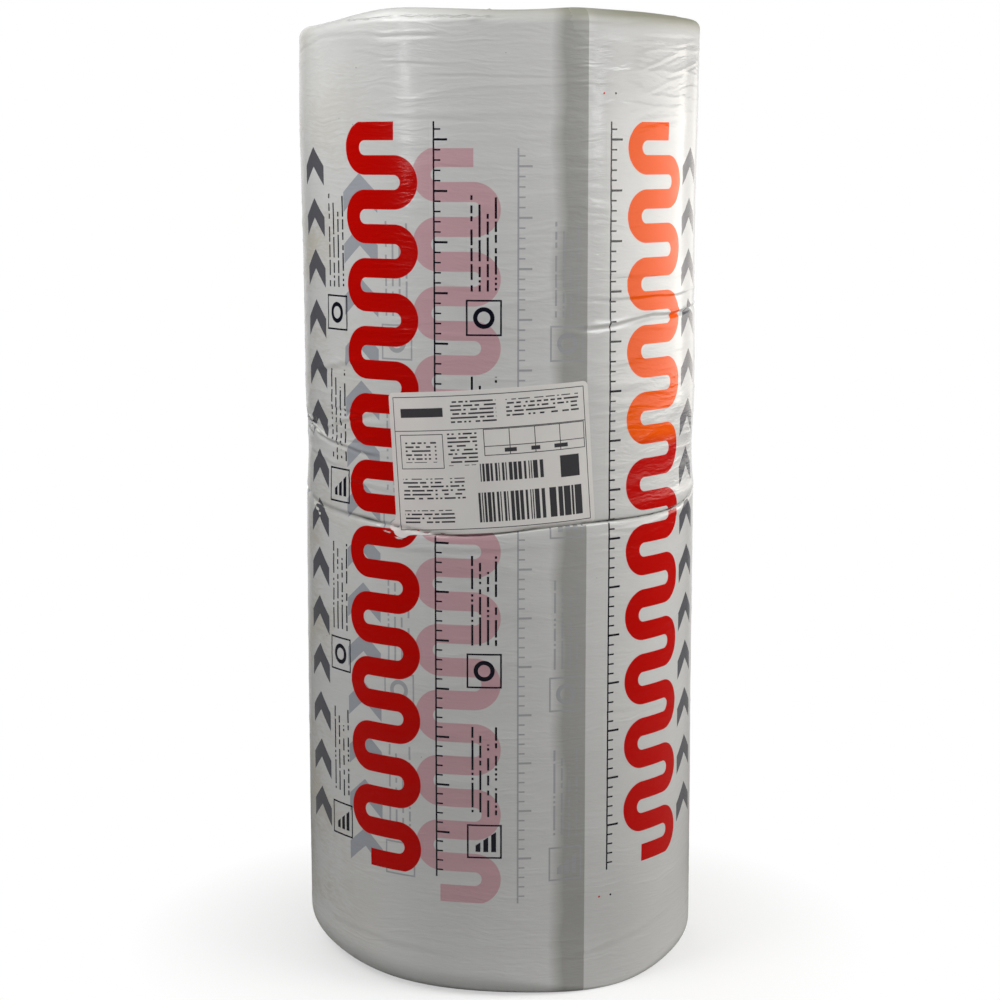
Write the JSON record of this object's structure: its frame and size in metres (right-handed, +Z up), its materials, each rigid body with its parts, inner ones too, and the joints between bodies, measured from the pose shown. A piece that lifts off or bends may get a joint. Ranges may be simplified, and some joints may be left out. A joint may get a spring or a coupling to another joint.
{
  "type": "insulation roll",
  "caption": "Wound mineral wool mats stood end on end in one tight printed film wrap with a paper label; each mat has an open bore and shows its turns at its ends.",
  "frame": {"origin": "centre of the lower end, on the floor that the roll stands on", "axes": "+Z up along the roll's axis, and the labelled side of the film faces -Y"},
  "size_m": [0.4199, 0.4204, 1.0016],
  "materials": {
    "wool": "matte",
    "film": "gloss",
    "label": "satin"
  },
  "bodies": {
    "root": {"lower_mat_roll": "wool", "upper_mat_roll": "wool", "film_wrap": "film", "label": "label"}
  },
  "joints": []
}
